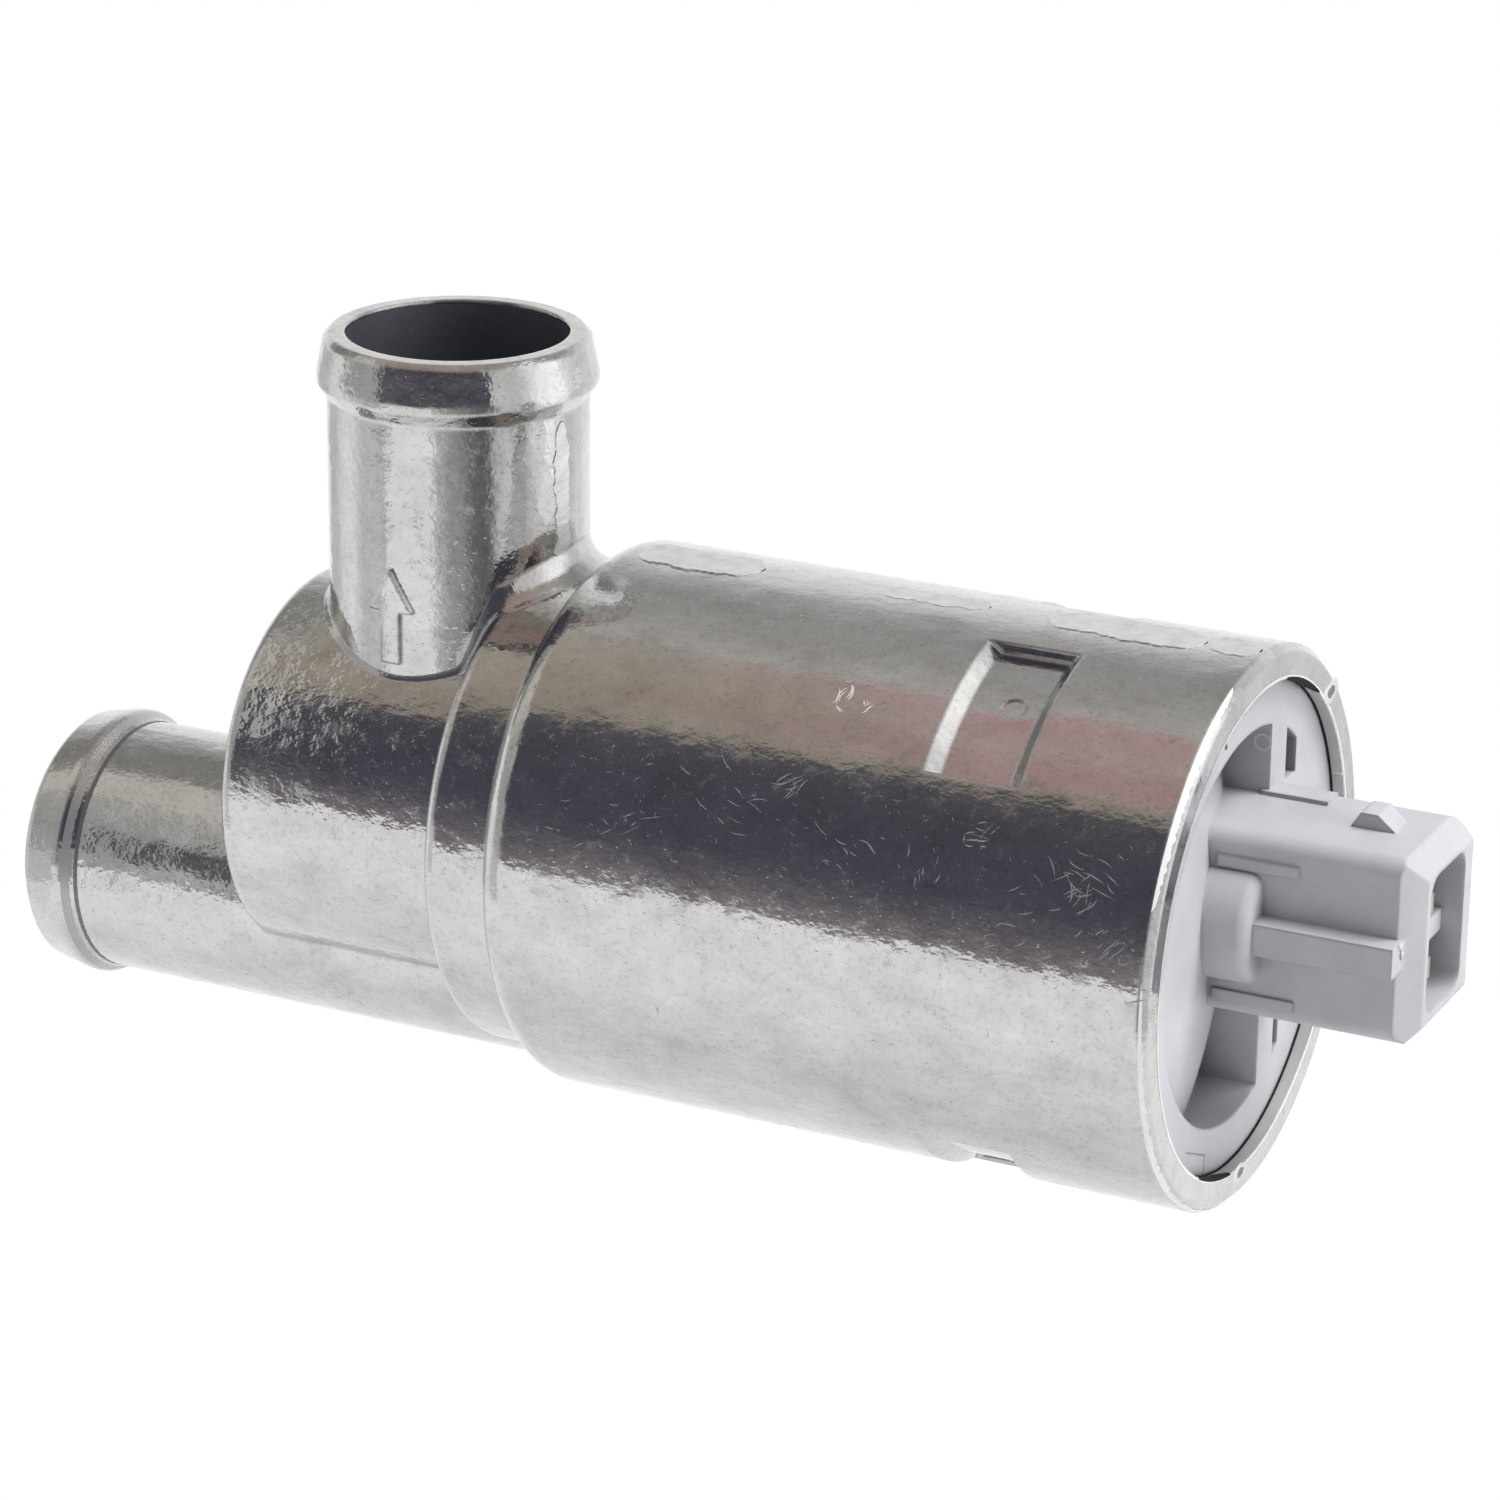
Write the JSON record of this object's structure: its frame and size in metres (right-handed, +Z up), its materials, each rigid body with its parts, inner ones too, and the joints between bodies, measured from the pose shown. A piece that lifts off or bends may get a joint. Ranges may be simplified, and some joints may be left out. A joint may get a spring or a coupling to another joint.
{
  "type": "idle air control valve",
  "caption": "Rotary idle air control valve: cast aluminium body with a side and an end hose nozzle, plastic end cap with a two-pin socket.",
  "frame": {"origin": "on the barrel axis, where the middle of the strap sits between the shoulder and the sunk panels", "axes": "+X along the barrel towards the connector, +Z up along the side nozzle, +Y away from the side with the cap's pocket"},
  "size_m": [0.1146, 0.0422, 0.0578],
  "materials": {
    "cast_aluminium": "as cast, tumbled and clear, slightly pitted and scratched",
    "cap_plastic": "moulded, satin, light cool grey",
    "seal_rubber": "moulded",
    "terminal_metal": "stamped and tinned",
    "lead_coat": "enamelled wire",
    "core_steel": "stamped",
    "bobbin_plastic": "moulded",
    "winding": "enamelled copper winding",
    "plate_aluminium": "turned",
    "bearing_steel": "ground",
    "magnet": "sintered",
    "collet_brass": "turned",
    "spring_steel": "blued strip"
  },
  "bodies": {
    "body": {"housing": "cast_aluminium", "end_cap": "cap_plastic", "cap_seal": "seal_rubber", "terminal_upper": "terminal_metal", "terminal_lower": "terminal_metal", "lead_upper": "lead_coat", "lead_lower": "lead_coat", "stator_core": "core_steel", "bobbin_upper": "bobbin_plastic", "bobbin_lower": "bobbin_plastic", "coil_upper": "winding", "coil_lower": "winding", "front_bearing_plate": "plate_aluminium", "rear_bearing_plate": "plate_aluminium", "front_bearing_outer_ring": "bearing_steel", "front_bearing_balls": "bearing_steel", "rear_bearing_outer_ring": "bearing_steel", "rear_bearing_balls": "bearing_steel", "shaft_seal": "seal_rubber", "stop_pin_closed": "bearing_steel", "stop_pin_open": "bearing_steel", "spring_post": "bearing_steel"},
    "rotor": {"rotor_shaft": "bearing_steel", "rotor_hub": "core_steel", "rotor_magnet": "magnet", "rotary_slide": "plate_aluminium", "slide_circlip": "bearing_steel", "stop_arm": "core_steel", "spring_collet": "collet_brass", "front_bearing_inner_ring": "bearing_steel", "rear_bearing_inner_ring": "bearing_steel", "return_spring": "spring_steel"}
  },
  "joints": [
    {"name": "rotor_turn", "type": "hinge", "parent": "body", "child": "rotor", "pos_m": [0, 0, 0], "axis": [1, 0, 0], "range_deg": [0, 60], "stiffness_Nm_per_rad": 0.01, "deforming": ["return_spring"]}
  ]
}
